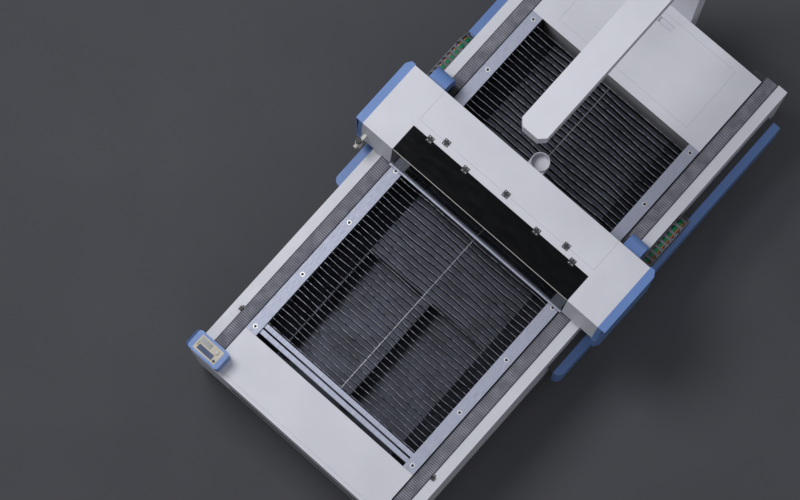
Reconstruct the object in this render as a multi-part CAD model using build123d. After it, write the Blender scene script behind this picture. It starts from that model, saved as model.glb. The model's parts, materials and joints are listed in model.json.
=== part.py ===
from build123d import *
import os
from math import radians, sin, cos, tan

# Gantry carbon dioxide laser cutter: a slatted flat bed between two covered
# guide beams, and a gantry that runs along it and carries tube, optics and head.
# X runs across the bed, Y from front to back, Z up; the floor is at zero.

# Whole machine, front to back
machine_length = 4310
front_y = -machine_length / 2
rear_y = machine_length / 2
sheet = 4

# Bed
bed_top = 880
bed_half = 702
deck_depth = 383
deck_lip = 30
seam = 0.8
rear_depth = 816
bed_front = front_y + deck_depth
bed_rear = rear_y - rear_depth

# Clamp bars with their button-head screws
bar_width = 94
bar_thick = 12
screw_inset = 48
screw_count = 7
screw_end = 48
screw_head_radius = 11
screw_head_height = 6
screw_shank_radius = 4
screw_shank_length = 32
screw_hole_gap = 0.4
screw_sides = 8
head_sides = 12
bar_outer = bed_half + bar_width
screw_x = bed_half + screw_inset
bar_base = bed_top - bar_thick

# Slats
slat_top = 865
slat_height = 80
slat_thick = 3
slat_pitch = 45.5
slat_reach = 31
slat_end = bed_half + slat_reach
slat_margin = 132
cross_bar_start = 34
cross_bar_pitch = 50
cross_bar_width = 36
slat_rear_margin = 40
slat_base = slat_top - slat_height
rod_radius = 4
rod_drop = 14
rod_gap = 0.3
rod_end = 9

# Guide beams of the frame
beam_top = slat_base
beam_height = 185
beam_wall = 8
beam_overlap = 109
beam_outer = bar_outer + beam_overlap
beam_inner = bed_half - 2
beam_front = front_y + 60
beam_rear = rear_y - 50
seat_inner = slat_end + 5

# Legs, rails and feet
leg_size = 100
leg_x = bar_outer + 4
leg_rows = 5
leg_inset = 180
rail_size = 60
rail_low = 150
foot_height = 70
foot_radius = 45
foot_pad = 14
stud_radius = 10
foot_sides = 16
cross_rows = 4

# Linear guides and racks under the bellows
guide_x = bar_outer + 86
guide_width = 20
guide_height = 18
rack_inner = bar_outer + 14
rack_width = 12
rack_height = 22
running_gap = 0.3
pinion_radius = 17
pinion_height = 18
pinion_y = 467
pinion_x = rack_inner + rack_width + running_gap + pinion_radius

# Bellows
bellows_width = 104
bellows_inner = bar_outer + 4
bellows_outer = bellows_inner + bellows_width
bellows_top = 862
bellows_pitch = 19.5
bellows_depth = 6
bellows_wall = 3
bellows_front = front_y + 155
bellows_rear = rear_y - 60
bellows_base = beam_top + running_gap

# Side covers
strip_top = 850
strip_width = 82
strip_outer = bellows_outer + strip_width
cover_low = 100
strip_seam_depth = 1.5
strip_seam_width = 2
strip_rear_seam = rear_y - 195
side_rear = rear_y - 50

# Blue side skirts and chain trays
skirt_top = 500
skirt_reach = 54
skirt_width = 64
skirt_inner = strip_outer + skirt_reach
skirt_outer = skirt_inner + skirt_width
skirt_low = 120
skirt_front = -520
skirt_rear = rear_y - 195
skirt_corner = 55
gusset_count = 6
gusset_thick = 6
gusset_height = 60

# Gantry envelope
gantry_clear = 20
riser_top = bed_top + gantry_clear
carriage_thick = 18
gantry_base = riser_top + carriage_thick
gantry_top = 1270
gantry_side = 30
chain_inner = strip_outer + 6
chain_width = 78
gantry_half = chain_inner + chain_width + gantry_side
arm_inner = bar_outer + 22
gantry_rear = 393
gantry_front = 60
arm_front = -168
arm_slope = 34
wall = 4

# Blue end caps
cap_width = 64
cap_outer = gantry_half + cap_width
cap_low = 640
cap_chamfer_x = 27
cap_chamfer_y = 42
cap_wall = 4

# Carriages, beam and guide blocks
riser_inner = bellows_inner + 6
riser_outer = bellows_outer - 4
carriage_front = -150
carriage_rear = 535
carriage_outer = gantry_half - 15
block_length = 80
block_width = 44
block_height = 28
block_places = (-140, 290)
tube_front = 150
tube_depth = 180
tube_low = 960
tube_tall = 200
tube_wall = 8
tube_half = gantry_half - 25

# Motors and their covers
motor_width = 150
motor_inner = riser_inner + 36
motor_outer = motor_inner + motor_width
motor_rear = 540
motor_top = 1150
motor_round = 95
motor_radius = 40
gearbox_tall = 70

# Beam lid and front window
lid_front = 118
lid_half = arm_inner - 3
lid_flange = 55
window_thick = 6
window_gap = 4
window_lift = 8
trim_thick = 5
hinge_size = 50
hinge_thick = 3
hinge_pin = 4.5
knuckle_sides = 12
lid_hinge_x = (-560, 0, 560)
window_hinge_x = (-663, -333, 333, 663)
trim_size = 14

# Laser tube and optics
laser_radius = 40
laser_half = arm_inner - 93
laser_y = 250
laser_z = 1212
laser_mount_x = 480
mirror_x = 150 - gantry_half
mirror_size = 46
beam_line_y = 5

# Head with its slides
x_rail_half = arm_inner - 58
x_rail_z = 1060
x_rail_tall = 20
x_rail_deep = 14
head_width = 90
head_drop = 1020
head_plate = 34
belt_clear = 1
lift_low = 1000
lift_top = 1150
lift_half = 32
lift_arm_low = 1040
lift_arm_top = 1080
head_bore = 12
lens_bore = 8
nozzle_bore = 2
focus_ring_z = 1110
focus_ring_tall = 28
lift_plate = 30
nozzle_tip = 905
nozzle_top = 960
lens_tube_radius = 18
mirror_box = 60

# Belt that pulls the head
pulley_radius = 15
pulley_x = arm_inner - 38
belt_thick = 2
belt_width = 10
belt_z = 1105
belt_y = 128

# Exhaust mouth behind the beam
duct_y = 500
duct_radius = 70
duct_wall = 4
duct_top = 1026
duct_low = 935
duct_channel_top = 1000

# Cable chains
chain_height = 60
chain_pitch = 50
chain_bar = 22
chain_side = 12
chain_cover = 6
chain_arc = 6
chain_upper = 8
chain_lower = 19
chain_start = 404
chain_rise = 1.3
chain_bracket = 14

# Air regulator on the left arm
regulator_x = 40 - gantry_half
regulator_y = -262
regulator_radius = 26
regulator_top = 1150
regulator_low = 932
regulator_mid = 1030
bracket_tall = 42
knob_low = 1096
knob_sides = 12
gauge_radius = 15
gauge_reach = 22

# Control box
box_left = -strip_outer - 14
box_right = -bed_half - 20
box_rear = front_y + 152
box_top = 1050
box_flare = 45
box_round = 22
panel_margin = 38
panel_thick = 3
screen_thick = 2

# Rear cabinet and lid
deck_rear = rear_y - 121
lid_rear_front = bed_rear + 78
lid_rear_back = deck_rear - 67
lid_rear_half = bed_half - 93
cabinet_low = 250
supply_tall = 240
cabinet_half = beam_inner - 10
slot_half = 66
slot_front = lid_rear_back - 86
slot_width = 45
slot_depth = 18

# Overhead column and boom
column_half = 122
column_wall = 5
boom_half = 108
boom_tip = 289
boom_top = 2700
boom_thick = 140
boom_chamfer = 45
camera_y = 420

# Hopper and waste drawers
hopper_floor = 470
hopper_half = bed_half - 142
drawer_gap = 4
drawer_top = 450
drawer_low = 240
drawer_inner = 20
drawer_outer = bed_half - 62
drawer_rear = -700
drawer_wall = 3
pull_half = 70
pull_low = 352
pull_tall = 40
pull_rim = 6


def slab(x0, x1, y0, y1, z0, z1):
    """A block between two corners."""
    place = Pos((x0 + x1) / 2, (y0 + y1) / 2, (z0 + z1) / 2)
    return place * Box(abs(x1 - x0), abs(y1 - y0), abs(z1 - z0))


def rod_x(x0, x1, y, z, radius):
    """A round bar along X."""
    return Pos((x0 + x1) / 2, y, z) * Rot(0, 90, 0) * Cylinder(radius, abs(x1 - x0))


def rod_y(y0, y1, x, z, radius):
    """A round bar along Y."""
    return Pos(x, (y0 + y1) / 2, z) * Rot(90, 0, 0) * Cylinder(radius, abs(y1 - y0))


def rod_z(z0, z1, x, y, radius):
    """A round bar along Z."""
    return Pos(x, y, (z0 + z1) / 2) * Cylinder(radius, z1 - z0)


def polygon_rod(x, y, z0, z1, radius, sides, top_radius=None):
    """A small upright fastener with flat sides, straight or tapered."""
    foot = Pos(x, y, z0) * RegularPolygon(radius, sides)
    if top_radius is None:
        return extrude(foot, amount=z1 - z0, dir=(0, 0, 1))
    return loft([foot, Pos(x, y, z1) * RegularPolygon(top_radius, sides)])


def prism_x(points, x0, x1):
    """An outline in Y and Z, drawn out along X."""
    face = make_face(Polyline(*[(0, y, z) for y, z in points], close=True))
    return Pos(x0, 0, 0) * extrude(face, amount=x1 - x0, dir=(1, 0, 0))


def prism_y(points, y0, y1):
    """An outline in X and Z, drawn out along Y."""
    face = make_face(Polyline(*[(x, 0, z) for x, z in points], close=True))
    return Pos(0, y0, 0) * extrude(face, amount=y1 - y0, dir=(0, 1, 0))


def prism_z(points, z0, z1):
    """An outline in X and Y, drawn up along Z."""
    face = make_face(Polyline(*[(x, y, 0) for x, y in points], close=True))
    return Pos(0, 0, z0) * extrude(face, amount=z1 - z0, dir=(0, 0, 1))


def solids(*shapes):
    """All the solids of some shapes, as one list."""
    found = []
    for shape in shapes:
        found += list(shape.solids())
    return found


def both_sides(*shapes):
    """The right-hand shapes and their mirror images on the left."""
    right = solids(*shapes)
    return right + [mirror(solid, about=Plane.YZ) for solid in right]


def left_side(*shapes):
    """The mirror images of right-hand shapes."""
    return [mirror(solid, about=Plane.YZ) for solid in solids(*shapes)]


def save(name, shapes):
    """Write one sub-part."""
    export_step(Compound(children=shapes), f"parts/{name}.step")


def spread(start, end, count):
    """Evenly spaced places from start to end."""
    return [start + (end - start) * i / (count - 1) for i in range(count)]


def screw_places():
    """Centres of the bar screws along Y."""
    return spread(bed_front + screw_end, bed_rear - screw_end, screw_count)


# Frame
def side_beam():
    tube = slab(beam_inner, beam_outer, beam_front, beam_rear, beam_top - beam_height, beam_top)
    tube -= slab(
        beam_inner + beam_wall,
        beam_outer - beam_wall,
        beam_front - 1,
        beam_rear + 1,
        beam_top - beam_height + beam_wall,
        beam_top - beam_wall,
    )
    seat = slab(seat_inner, bar_outer, bed_front, bed_rear, beam_top, bar_base)
    for y in screw_places():
        hole = screw_shank_radius + screw_hole_gap
        low = bed_top - screw_shank_length - screw_hole_gap
        seat -= polygon_rod(screw_x, y, low, bar_base + 1, hole, screw_sides)
    return [tube, seat]


def leg_places():
    return spread(beam_front + leg_inset, beam_rear - leg_inset, leg_rows)


def frame_legs():
    top = beam_top - beam_height
    half = leg_size / 2
    legs = []
    for y in leg_places():
        legs.append(slab(leg_x - half, leg_x + half, y - half, y + half, foot_height, top))
    return legs


def frame_rails():
    half = rail_size / 2
    high = rail_low + rail_size
    places = leg_places()
    rails = []
    for a, b in zip(places, places[1:]):
        near = a + leg_size / 2
        far = b - leg_size / 2
        rails.append(slab(leg_x - half, leg_x + half, near, far, rail_low, high))
    return rails


def cross_members():
    reach = leg_x - leg_size / 2
    half = rail_size / 2
    return [
        slab(-reach, reach, y - half, y + half, rail_low, rail_low + rail_size)
        for y in leg_places()
    ]


def levelling_feet():
    feet = []
    for y in leg_places():
        pad = polygon_rod(leg_x, y, 0, foot_pad, foot_radius, foot_sides, foot_radius * 0.6)
        stud = polygon_rod(leg_x, y, foot_pad, foot_height, stud_radius, screw_sides)
        feet.append(pad + stud)
    return feet


# Bed
def clamp_bar():
    bar = slab(bed_half, bar_outer, bed_front, bed_rear, bar_base, bed_top)
    for y in screw_places():
        hole = screw_shank_radius + screw_hole_gap
        bar -= polygon_rod(screw_x, y, bar_base - 1, bed_top + 1, hole, screw_sides)
    return bar


def bar_screws():
    screws = []
    for y in screw_places():
        foot = bed_top - screw_shank_length
        shank = polygon_rod(screw_x, y, foot, bed_top, screw_shank_radius, screw_sides)
        top = bed_top + screw_head_height
        rim = screw_head_radius * 0.55
        head = polygon_rod(screw_x, y, bed_top, top, screw_head_radius, head_sides, rim)
        screws.append(shank + head)
    return screws


def slat_places():
    first = bed_front + slat_margin
    last = bed_rear - slat_rear_margin
    count = int((last - first) / slat_pitch) + 1
    return [first + i * slat_pitch for i in range(count)]


def slats():
    notch = rod_radius + rod_gap
    low = slat_top - rod_drop - notch
    half = slat_thick / 2
    blades = []
    for y in slat_places():
        blade = slab(-slat_end, slat_end, y - half, y + half, slat_base, slat_top)
        blade -= slab(-notch, notch, y - half - 1, y + half + 1, low, slat_top + 1)
        blades.append(blade)
    return blades


def centre_rod():
    places = slat_places()
    return rod_y(places[0] - rod_end, places[-1] + rod_end, 0, slat_top - rod_drop, rod_radius)


def front_cross_bars():
    bars = []
    for i in range(2):
        y = bed_front + cross_bar_start + i * cross_bar_pitch
        bars.append(slab(-slat_end, slat_end, y, y + cross_bar_width, slat_base, slat_top))
    return bars


def hopper():
    outline = [
        (-bed_half + 4, beam_top),
        (-bed_half + 4, beam_top - beam_height),
        (-hopper_half, hopper_floor),
        (hopper_half, hopper_floor),
        (bed_half - 4, beam_top - beam_height),
        (bed_half - 4, beam_top),
        (bed_half - 4 - sheet, beam_top),
        (bed_half - 4 - sheet, beam_top - beam_height + 2),
        (hopper_half - 2, hopper_floor + sheet),
        (-hopper_half + 2, hopper_floor + sheet),
        (-bed_half + 4 + sheet, beam_top - beam_height + 2),
        (-bed_half + 4 + sheet, beam_top),
    ]
    tray = prism_y(outline, bed_front + 12, bed_rear - 2)
    mouth_rear = drawer_rear - 2 * drawer_wall - 10
    for side in (-1, 1):
        tray -= slab(
            side * (drawer_inner + 25),
            side * (hopper_half - 15),
            bed_front + 40,
            mouth_rear,
            hopper_floor - 1,
            hopper_floor + sheet + 1,
        )
    rests = [
        slab(side * (bed_half - 4), side * beam_inner, bed_front + 12, bed_rear - 2, beam_top - 40, beam_top)
        for side in (-1, 1)
    ]
    return tray + rests


def waste_drawer():
    rear = drawer_rear
    body = slab(drawer_inner, drawer_outer, front_y + 2, rear, drawer_low, drawer_top)
    body -= slab(
        drawer_inner + drawer_wall,
        drawer_outer - drawer_wall,
        front_y + 2 + sheet,
        rear - drawer_wall,
        drawer_low + drawer_wall,
        drawer_top + 1,
    )
    front = slab(
        drawer_inner - 12, drawer_outer + 12, front_y, front_y + sheet, drawer_low - 8, drawer_top + 6
    )
    middle = (drawer_inner + drawer_outer) / 2
    left = middle - pull_half
    right = middle + pull_half
    high = pull_low + pull_tall
    pull = slab(left, right, front_y - 1, front_y + 1 + sheet, pull_low, high)
    cup = slab(
        left - pull_rim,
        right + pull_rim,
        front_y + sheet,
        front_y + 30 + sheet,
        pull_low - pull_rim,
        high + pull_rim,
    )
    cup -= slab(left, right, front_y, front_y + 30, pull_low, high)
    return (body + front - pull) + cup


def drawer_runners():
    runners = []
    for x in (drawer_inner, drawer_outer):
        reach = 16 if x == drawer_outer else -16
        runners.append(
            slab(x - reach, x + reach, bed_front - 300, drawer_rear, drawer_low - 20, drawer_low - 0.3)
        )
    posts = []
    for y in leg_places()[:2]:
        for x in (drawer_inner, drawer_outer):
            posts.append(
                slab(x - 12, x + 12, y - 12, y + 12, rail_low + rail_size, drawer_low - 20)
            )
    return [runners[0] + posts[0] + posts[2], runners[1] + posts[1] + posts[3]]


# Guides, racks and bellows
def guide_rail():
    half = guide_width / 2
    rail = [
        (guide_x - half, 0),
        (guide_x - half, guide_height * 0.35),
        (guide_x - half + 3, guide_height * 0.5),
        (guide_x - half, guide_height * 0.65),
        (guide_x - half, guide_height),
        (guide_x + half, guide_height),
        (guide_x + half, guide_height * 0.65),
        (guide_x + half - 3, guide_height * 0.5),
        (guide_x + half, guide_height * 0.35),
        (guide_x + half, 0),
    ]
    return prism_y([(x, beam_top + z) for x, z in rail], bellows_front + 4, bellows_rear - 4)


def gear_rack():
    y0 = bellows_front + 4
    y1 = bellows_rear - 4
    return slab(rack_inner, rack_inner + rack_width, y0, y1, beam_top, beam_top + rack_height)


def bellows(start, end):
    """A folded cover: ridged on its top and both sides, hollow underneath."""
    count = max(2, round((end - start) / bellows_pitch))
    pitch = (end - start) / count
    top = []
    side = []
    for i in range(count):
        y = start + i * pitch
        top += [(y, bellows_top - bellows_depth), (y + pitch / 2, bellows_top)]
        side += [(y, bellows_depth), (y + pitch / 2, 0)]
    top.append((end, bellows_top - bellows_depth))
    side.append((end, bellows_depth))
    roof = prism_x(
        top + [(end, bellows_base), (start, bellows_base)], bellows_inner, bellows_outer
    )
    right = [(bellows_outer - x, y) for y, x in side]
    left = [(bellows_inner + x, y) for y, x in reversed(side)]
    plan = prism_z(right + left, bellows_base - 1, bellows_top + 1)
    inner = bellows_depth + bellows_wall
    tunnel = slab(
        bellows_inner + inner,
        bellows_outer - inner,
        start - 1,
        end + 1,
        bellows_base - 1,
        bellows_top - inner,
    )
    return (roof & plan) - tunnel


# Panels
def front_panel():
    face = slab(-strip_outer, strip_outer, front_y, front_y + sheet, drawer_top + 12, bed_top)
    lip = slab(-strip_outer, strip_outer, front_y, front_y + deck_lip, bed_top - sheet, bed_top)
    kick = slab(-strip_outer, strip_outer, front_y, front_y + sheet, cover_low, drawer_low - 14)
    jambs = []
    for x0, x1 in ((-strip_outer, -drawer_outer - 16), (drawer_outer + 16, strip_outer)):
        jambs.append(slab(x0, x1, front_y, front_y + sheet, cover_low, bed_top))
    return face + lip + kick + jambs


def front_deck():
    y0 = front_y + deck_lip + seam
    y1 = bed_front - seam
    top = slab(-bar_outer, bar_outer, y0, y1, bed_top - sheet, bed_top)
    corners = slab(-strip_outer, strip_outer, y0, bellows_front - 2, bed_top - sheet, bed_top)
    folds = [
        slab(side * (bar_outer - sheet), side * bar_outer, beam_front, y1, beam_top, bed_top)
        for side in (-1, 1)
    ]
    return top + corners + folds


def side_cover():
    y0 = front_y + sheet
    top = slab(beam_outer, strip_outer, bellows_front, side_rear, strip_top - sheet, strip_top)
    lip = slab(beam_outer, beam_outer + 3, bellows_front, side_rear, beam_top - 30, strip_top)
    face = slab(strip_outer - sheet, strip_outer, y0, side_rear, cover_low, strip_top)
    front = slab(strip_outer - sheet, strip_outer, y0, bellows_front, cover_low, bed_top - sheet)
    cover = top + lip + face + front
    for y in (bed_front - seam, strip_rear_seam):
        half = strip_seam_width / 2
        cover -= slab(
            beam_outer - 1,
            strip_outer + 1,
            y - half,
            y + half,
            strip_top - strip_seam_depth,
            strip_top + 1,
        )
    return cover


def side_skirt():
    x0 = skirt_inner
    x1 = skirt_outer
    y0 = skirt_front
    y1 = skirt_rear
    block = slab(x0, x1, y0, y1, skirt_low, skirt_top)
    corner = block.edges().filter_by(Axis.Z).sort_by(Axis.Y)[:2].sort_by(Axis.X)[-1]
    block = fillet(corner, skirt_corner)
    inside = slab(x0 - 1, x1 - sheet, y0 + sheet, y1 + 1, skirt_low - 1, skirt_top - sheet)
    corner = inside.edges().filter_by(Axis.Z).sort_by(Axis.Y)[:2].sort_by(Axis.X)[-1]
    return block - fillet(corner, skirt_corner - sheet)


def chain_tray():
    y0 = skirt_front
    tray = slab(strip_outer, skirt_inner, y0, skirt_rear, skirt_top - sheet, skirt_top)
    for y in spread(y0 + 90, skirt_rear - 60, gusset_count):
        outline = [
            (strip_outer, skirt_top - sheet),
            (strip_outer, skirt_top - sheet - gusset_height),
            (skirt_outer - sheet, skirt_top - sheet - 20),
            (skirt_outer - sheet, skirt_top - sheet),
        ]
        tray += prism_y(outline, y, y + gusset_thick)
    return tray


# Rear cabinet with its lid
def rear_cabinet():
    y0 = bed_rear + seam
    top = slab(-bar_outer, bar_outer, y0, deck_rear, bed_top - sheet, bed_top)
    folds = [
        slab(side * (bar_outer - sheet), side * bar_outer, y0, deck_rear, beam_top, bed_top)
        for side in (-1, 1)
    ]
    top -= slab(
        -lid_rear_half,
        lid_rear_half,
        lid_rear_front,
        lid_rear_back,
        bed_top - sheet - 1,
        bed_top + 1,
    )
    tub = slab(-cabinet_half, cabinet_half, y0 + 20, deck_rear, cabinet_low, bed_top - sheet)
    tub -= slab(
        -cabinet_half + sheet,
        cabinet_half - sheet,
        y0 + 20 + sheet,
        deck_rear - sheet,
        cabinet_low + sheet,
        bed_top,
    )
    reach = strip_outer - sheet
    rear = slab(-reach, reach, deck_rear - sheet, deck_rear, cabinet_low, beam_top - beam_height)
    return top + folds + tub + rear + rear_hinges()


def rear_lid():
    x = lid_rear_half - seam
    y0 = lid_rear_front + seam
    y1 = lid_rear_back - seam
    lid = slab(-x, x, y0, y1, bed_top - sheet, bed_top)
    pocket = slab(
        -slot_half - 3,
        slot_half + 3,
        slot_front - 3,
        slot_front + slot_width + 3,
        bed_top - slot_depth - 3,
        bed_top - sheet,
    )
    lid += pocket
    lid -= slab(
        -slot_half,
        slot_half,
        slot_front,
        slot_front + slot_width,
        bed_top - slot_depth,
        bed_top + 1,
    )
    return lid


def rear_hinges():
    """Two concealed hinge straps under the seam of the rear lid."""
    straps = []
    place = lid_rear_half - 209
    for x in (-place, place):
        strap = slab(x - 30, x + 30, lid_rear_front - 40, lid_rear_front, bed_top - sheet - 6, bed_top - sheet)
        straps.append(strap)
    return straps


def power_supply():
    z = cabinet_low + sheet
    left = 130 - cabinet_half
    body = slab(left, left + 400, bed_rear + 120, bed_rear + 420, z, z + supply_tall)
    for i in range(6):
        x = left + 60 + i * 50
        body -= slab(x, x + 20, bed_rear + 160, bed_rear + 380, z + supply_tall - 8, z + supply_tall + 1)
    return body


def drive_units():
    z = cabinet_low + sheet
    units = []
    for i in range(4):
        x = 60 + i * 130
        units.append(slab(x, x + 80, bed_rear + 140, bed_rear + 340, z, z + 210))
    return units


# Overhead column, boom and camera
def column():
    y0 = deck_rear + running_gap
    post = slab(-column_half, column_half, y0, rear_y, 0, boom_top - boom_thick)
    post -= slab(
        -column_half + column_wall,
        column_half - column_wall,
        y0 + column_wall,
        rear_y - column_wall,
        12,
        boom_top - boom_thick + 1,
    )
    return post


def boom():
    c = boom_chamfer
    outline = [
        (-boom_half + c, boom_tip),
        (boom_half - c, boom_tip),
        (boom_half, boom_tip + c),
        (boom_half, rear_y),
        (-boom_half, rear_y),
        (-boom_half, boom_tip + c),
    ]
    return prism_z(outline, boom_top - boom_thick, boom_top)


def view_camera():
    z = boom_top - boom_thick
    body = slab(-45, 45, camera_y - 45, camera_y + 45, z - 60, z)
    lens = rod_z(z - 95, z - 60, 0, camera_y, 26)
    return body + lens - rod_z(z - 96, z - 85, 0, camera_y, 20)


# Gantry
def carriage():
    riser = slab(
        riser_inner, riser_outer, carriage_front, carriage_rear, beam_top + block_height + 5, riser_top
    )
    plate = slab(
        riser_inner, carriage_outer, carriage_front, tube_front + tube_depth + 40, riser_top, riser_top + carriage_thick
    )
    tail = slab(
        riser_inner,
        motor_outer - sheet,
        tube_front + tube_depth,
        carriage_rear,
        riser_top,
        riser_top + carriage_thick,
    )
    pedestal = slab(
        riser_inner + 20, carriage_outer - 20, tube_front, tube_front + tube_depth, riser_top, tube_low
    )
    pocket = pinion_radius + 4
    shape = riser + plate + tail + pedestal + chain_bracket_arm()
    shape -= slab(
        riser_inner - 1,
        pinion_x + pocket,
        pinion_y - pocket,
        pinion_y + pocket,
        beam_top,
        riser_top - 20,
    )
    return shape - rod_z(riser_top - 21, riser_top + carriage_thick + 1, pinion_x, pinion_y, 8.5)


def chain_bracket_arm():
    """The part of the carriage plate that reaches over the cable chain."""
    y1 = chain_start - running_gap
    x1 = chain_inner + chain_width
    return slab(chain_inner, x1, tube_front, y1, riser_top, riser_top + carriage_thick)


def chain_bracket_leg():
    """The plate that hangs down to the chain's moving end."""
    y1 = chain_start - running_gap
    low = chain_frames()[0][1] - chain_height / 2
    return slab(chain_inner, chain_inner + chain_width, y1 - chain_bracket, y1, low, riser_top)


def guide_blocks():
    blocks = []
    half = block_width / 2
    slot = guide_width / 2 + running_gap
    for y in block_places:
        block = slab(
            guide_x - half,
            guide_x + half,
            y,
            y + block_length,
            beam_top + 6,
            beam_top + block_height + 5,
        )
        block -= slab(
            guide_x - slot,
            guide_x + slot,
            y - 1,
            y + block_length + 1,
            beam_top,
            beam_top + guide_height + running_gap,
        )
        blocks.append(block)
    return blocks


def gantry_tube():
    y0 = tube_front
    y1 = tube_front + tube_depth
    tube = slab(-tube_half, tube_half, y0, y1, tube_low, tube_low + tube_tall)
    return tube - slab(
        -tube_half - 1,
        tube_half + 1,
        y0 + tube_wall,
        y1 - tube_wall,
        tube_low + tube_wall,
        tube_low + tube_tall - tube_wall,
    )


def arm_outline(inset):
    """The arm's side view: a front face that leans forward towards its foot."""
    low = gantry_base - (1 if inset else 0)
    return [
        (gantry_rear - inset, low),
        (gantry_rear - inset, gantry_top - inset),
        (arm_front + inset, gantry_top - inset),
        (arm_front + inset - arm_slope, low),
    ]


def gantry_cover():
    shell = prism_x(arm_outline(0), -gantry_half, gantry_half)
    shell -= prism_x(arm_outline(wall), -gantry_half + wall, gantry_half - wall)
    gap = slab(-arm_inner, arm_inner, arm_front - arm_slope - 5, gantry_front, gantry_base - 5, gantry_top + 5)
    shell -= gap
    for side in (-1, 1):
        x0 = side * arm_inner
        x1 = side * (arm_inner + wall)
        cheek = prism_x(
            [
                (gantry_front + wall, gantry_base),
                (gantry_front + wall, gantry_top),
                (arm_front, gantry_top),
                (arm_front - arm_slope, gantry_base),
            ],
            min(x0, x1),
            max(x0, x1),
        )
        shell += cheek
    front_low = tube_low + tube_tall + 20
    shell += slab(-arm_inner, arm_inner, gantry_front, gantry_front + wall, front_low, gantry_top)
    shell -= slab(-lid_half - seam, lid_half + seam, lid_front, gantry_rear + 1, gantry_top - wall - 1, gantry_top + 1)
    shell -= slab(
        -lid_half - seam,
        lid_half + seam,
        gantry_rear - wall - 1,
        gantry_rear + 1,
        gantry_top - lid_flange - seam,
        gantry_top + 1,
    )
    shell -= slab(-duct_radius + 10, duct_radius - 10, gantry_rear - wall - 1, gantry_rear + 1, duct_low + 8, duct_channel_top - 8)
    shell -= rod_x(-arm_inner - wall - 1, -arm_inner + 1, beam_line_y, laser_z, 14)
    return shell


def end_cap():
    x0 = gantry_half
    x1 = cap_outer
    y_back = gantry_rear + 8
    y_front = arm_front - arm_slope - 2

    def outline(inset):
        out = x1 - inset
        return [
            (x0 - 1, y_front + inset),
            (out - cap_chamfer_x, y_front + inset),
            (out, y_front + cap_chamfer_y),
            (out, y_back - cap_chamfer_y),
            (out - cap_chamfer_x, y_back - inset),
            (x0 - 1, y_back - inset),
        ]

    block = prism_z(outline(0), cap_low, gantry_top)
    hollow = prism_z(outline(cap_wall), cap_low - 1, gantry_top - cap_wall)
    block -= hollow
    lean = [
        (y_front - 5, gantry_top + 5),
        (arm_front - 0.1, gantry_top + 5),
        (arm_front - arm_slope, gantry_base),
        (y_front - 5, gantry_base),
    ]
    block -= prism_x(lean, x0 - 2, x1 + 2)
    skin = [
        (arm_front - 0.1, gantry_top - 0.5),
        (arm_front + cap_wall, gantry_top - 0.5),
        (arm_front - arm_slope + cap_wall, gantry_base),
        (arm_front - arm_slope, gantry_base),
    ]
    block += prism_x(skin, x0, x1 - cap_chamfer_x)
    return block - slab(x0 - 3, x0, y_front - 9, y_back + 9, cap_low - 2, gantry_top + 2)


def motor():
    x = (motor_inner + motor_outer) / 2
    z = riser_top + carriage_thick
    gearbox = slab(riser_inner + 45, motor_outer - 20, pinion_y - 45, pinion_y + 45, z, z + gearbox_tall)
    gearbox += slab(riser_inner + 4, riser_inner + 45, pinion_y - 25, pinion_y + 25, z, z + 40)
    body = rod_z(z + gearbox_tall, z + gearbox_tall + 120, x, pinion_y, motor_radius)
    bore = rod_z(z - 1, z + 31, pinion_x, pinion_y, 8.5)
    return gearbox + body - bore


def motor_cover():
    y0 = gantry_rear + 10
    outline = [
        (y0, motor_top),
        (y0, riser_top + carriage_thick + 0.3),
        (motor_rear, riser_top + carriage_thick + 0.3),
        (motor_rear, motor_top),
    ]
    block = prism_x(outline, motor_inner, motor_outer)
    edge = block.edges().filter_by(Axis.X).sort_by(Axis.Z)[-2:].sort_by(Axis.Y)[-1]
    block = fillet(edge, motor_round)
    inner = [
        (y0 - 1, motor_top - sheet),
        (y0 - 1, riser_top),
        (motor_rear - sheet, riser_top),
        (motor_rear - sheet, motor_top - sheet),
    ]
    hollow = prism_x(inner, motor_inner + sheet, motor_outer - sheet)
    edge = hollow.edges().filter_by(Axis.X).sort_by(Axis.Z)[-2:].sort_by(Axis.Y)[-1]
    hollow = fillet(edge, motor_round - sheet)
    cover = block - hollow
    return cover - slab(
        motor_inner - 1,
        motor_inner + sheet + 1,
        pinion_y - 50,
        pinion_y + 50,
        riser_top,
        riser_top + carriage_thick + gearbox_tall + 4,
    )


def pinion():
    gear_top = beam_top + 3 + pinion_height
    gear = rod_z(beam_top + 3, gear_top, pinion_x, pinion_y, pinion_radius)
    return gear + rod_z(gear_top, riser_top + carriage_thick + 30, pinion_x, pinion_y, 8)


def hinge_leaf(x, axis_y, side, fixed):
    """One leaf: the fixed one carries the middle knuckle, the moving one the outer two."""
    half = hinge_size / 2
    third = hinge_size / 6
    z = gantry_top
    y0 = axis_y + side * (hinge_pin + 1)
    leaf = slab(x - half, x + half, y0, axis_y + side * half, z, z + hinge_thick)
    if fixed:
        spans = [(-third, third)]
    else:
        spans = [(-half, -third - running_gap), (third + running_gap, half)]
    near, far = sorted((axis_y, y0 + side))
    for a, b in spans:
        barrel = RegularPolygon(hinge_pin, knuckle_sides)
        middle = Pos(x + a, axis_y, z + hinge_pin + running_gap) * Rot(0, 90, 0)
        leaf += middle * extrude(barrel, amount=b - a)
        leaf += slab(x + a, x + b, near, far, z + running_gap, z + hinge_thick)
    return leaf


def fixed_leaves():
    lid = [hinge_leaf(x, lid_front, -1, True) for x in lid_hinge_x]
    return lid + [hinge_leaf(x, gantry_front, 1, True) for x in window_hinge_x]


def beam_lid():
    x = lid_half
    top = slab(-x, x, lid_front + seam, gantry_rear, gantry_top - wall, gantry_top)
    flange = slab(-x, x, gantry_rear - wall, gantry_rear, gantry_top - lid_flange, gantry_top)
    return top + flange


def lid_leaves():
    return [hinge_leaf(x, lid_front, 1, False) for x in lid_hinge_x]


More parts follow.
